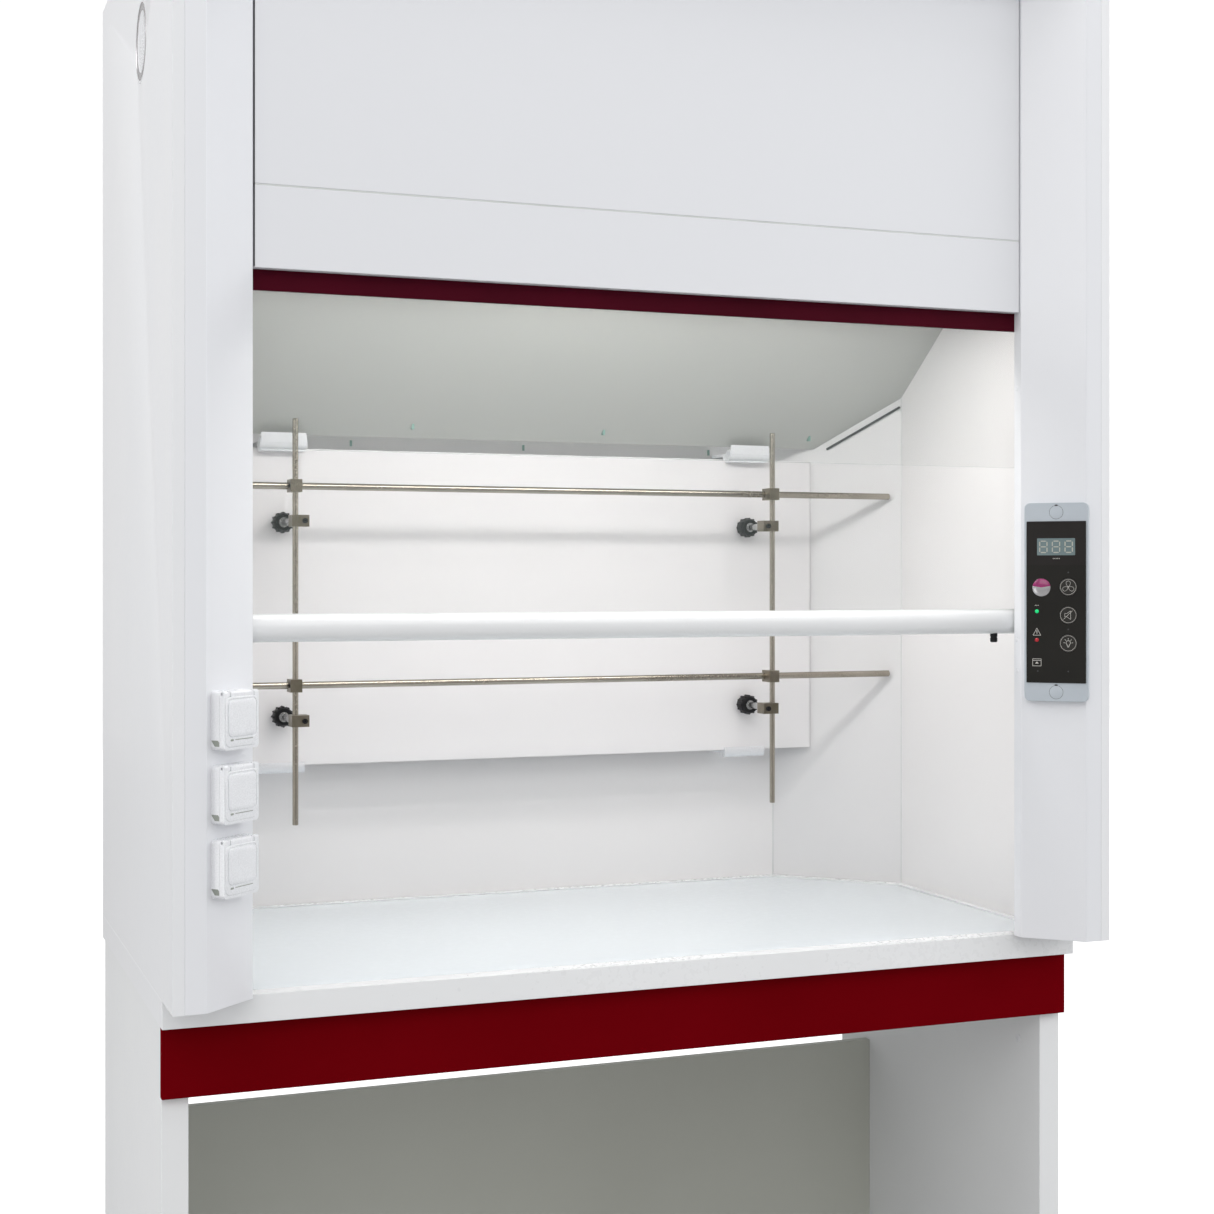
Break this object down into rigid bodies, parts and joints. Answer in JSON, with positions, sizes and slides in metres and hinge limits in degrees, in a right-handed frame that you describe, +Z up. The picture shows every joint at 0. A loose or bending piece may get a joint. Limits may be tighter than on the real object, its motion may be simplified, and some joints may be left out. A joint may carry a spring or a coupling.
{
  "type": "fume hood",
  "caption": "Bench fume hood on an open table base, with a counterbalanced two-part glass sash, baffled chamber with rod lattice, controller and lidded power sockets.",
  "frame": {"origin": "on the floor, under the middle of the cabinet's overall box", "axes": "+X to the right seen from the front, +Y to the back, +Z up"},
  "size_m": [1.5, 0.8472, 2.56],
  "materials": {
    "white_board": "satin",
    "red_steel": "satin",
    "black_plastic": "satin",
    "worktop_board": "satin",
    "worktop_glass": "gloss",
    "white_plastic": "satin",
    "white_steel": "satin",
    "red_rail": "satin",
    "chamber_white": "satin",
    "ceiling_grey": "satin",
    "lamp_white": "matte",
    "rod_steel": "satin",
    "clamp_metal": "satin",
    "aluminium": "satin",
    "pane": "gloss",
    "handle_metal": "satin",
    "belt_rubber": "satin",
    "steel": "satin",
    "pulley_plastic": "satin",
    "weight_iron": "satin",
    "grey_plastic": "satin",
    "face_black": "satin",
    "button_grey": "satin"
  },
  "bodies": {
    "cabinet": {"leg_panel_left": "white_board", "leg_panel_right": "white_board", "base_back_panel": "white_board", "base_rear_rail": "white_board", "front_apron": "red_steel", "levelling_feet": "black_plastic", "worktop": "worktop_board", "worktop_glass": "worktop_glass", "side_panel_left": "white_board", "side_panel_right": "white_board", "side_badge": "white_plastic", "column_left": "white_steel", "column_right": "white_steel", "upper_fascia": "white_board", "lower_fascia": "white_board", "header_rail": "red_rail", "inner_header": "white_steel", "roof_panel": "white_steel", "back_panel": "white_board", "exhaust_spigot": "white_plastic", "side_liners": "chamber_white", "corner_panels": "chamber_white", "rear_liner": "chamber_white", "ceiling_panel": "ceiling_grey", "rear_baffle": "chamber_white", "baffle_grips": "white_plastic", "lamp_housing": "white_steel", "lamp_diffuser": "lamp_white", "upright_rods": "rod_steel", "cross_rods": "rod_steel", "rod_sockets": "black_plastic", "wall_rods": "rod_steel", "rod_clamps": "clamp_metal", "clamp_screws": "black_plastic", "sash_tracks": "aluminium", "sash_belts": "belt_rubber", "shaft_bearings": "pulley_plastic", "idler_pins": "steel", "socket_boxes": "white_plastic", "socket_faces": "grey_plastic", "lid_pins": "steel", "controller_housing": "grey_plastic", "controller_face": "face_black"},
    "sash": {"lower_pane": "pane", "sash_handle": "handle_metal", "handle_caps": "white_plastic", "lower_belt_arms": "aluminium"},
    "upper_sash": {"upper_pane": "pane", "upper_belt_arms": "aluminium"},
    "catch": {"release_button": "black_plastic"},
    "weights": {"counterweights": "weight_iron"},
    "shaft": {"sync_shaft": "steel", "drive_pulleys": "pulley_plastic"},
    "idlers": {"idler_pulleys": "pulley_plastic"},
    "lid_top": {"socket_lid_top": "white_plastic"},
    "lid_middle": {"socket_lid_middle": "white_plastic"},
    "lid_bottom": {"socket_lid_bottom": "white_plastic"},
    "fan_key": {"button_fan": "button_grey"},
    "alarm_key": {"button_alarm": "button_grey"},
    "lamp_key": {"button_lamp": "button_grey"}
  },
  "joints": [
    {"name": "sash_slide", "type": "slide", "parent": "cabinet", "child": "sash", "axis": [0, 0, 1], "range_m": [-0.48, 0.44]},
    {"name": "upper_sash_slide", "type": "slide", "parent": "cabinet", "child": "upper_sash", "axis": [0, 0, 1], "range_m": [-0.2401, 0.2201]},
    {"name": "catch_press", "type": "slide", "parent": "sash", "child": "catch", "axis": [0, 0, 1], "range_m": [0, 0.006], "stiffness_N_per_m": 400},
    {"name": "weight_slide", "type": "slide", "parent": "cabinet", "child": "weights", "axis": [0, 0, 1], "range_m": [-0.4401, 0.4801]},
    {"name": "shaft_spin", "type": "hinge", "parent": "cabinet", "child": "shaft", "pos_m": [0, -0.30842, 2.446], "axis": [1, 0, 0], "continuous": true},
    {"name": "idler_spin", "type": "hinge", "parent": "cabinet", "child": "idlers", "pos_m": [0, -0.30842, 0.945], "axis": [1, 0, 0], "continuous": true},
    {"name": "lid_top_hinge", "type": "hinge", "parent": "cabinet", "child": "lid_top", "pos_m": [-0.65695, -0.3909, 1.33115], "axis": [-0.726, -0.6877, 0], "range_deg": [0, 95]},
    {"name": "lid_middle_hinge", "type": "hinge", "parent": "cabinet", "child": "lid_middle", "pos_m": [-0.65695, -0.3909, 1.23065], "axis": [-0.726, -0.6877, 0], "range_deg": [0, 95]},
    {"name": "lid_bottom_hinge", "type": "hinge", "parent": "cabinet", "child": "lid_bottom", "pos_m": [-0.65695, -0.3909, 1.13015], "axis": [-0.726, -0.6877, 0], "range_deg": [0, 95]},
    {"name": "fan_press", "type": "slide", "parent": "cabinet", "child": "fan_key", "axis": [0.6877, 0.726, 0], "range_m": [0, 0.0012], "stiffness_N_per_m": 400},
    {"name": "alarm_press", "type": "slide", "parent": "cabinet", "child": "alarm_key", "axis": [0.6877, 0.726, 0], "range_m": [0, 0.0012], "stiffness_N_per_m": 400},
    {"name": "lamp_press", "type": "slide", "parent": "cabinet", "child": "lamp_key", "axis": [0.6877, 0.726, 0], "range_m": [0, 0.0012], "stiffness_N_per_m": 400}
  ],
  "couplings": [
    {"joint": "upper_sash_slide", "follows": "sash_slide", "ratio": 0.5},
    {"joint": "weight_slide", "follows": "sash_slide", "ratio": -1},
    {"joint": "shaft_spin", "follows": "sash_slide", "rad_per_m": 40},
    {"joint": "idler_spin", "follows": "sash_slide", "rad_per_m": 40}
  ]
}
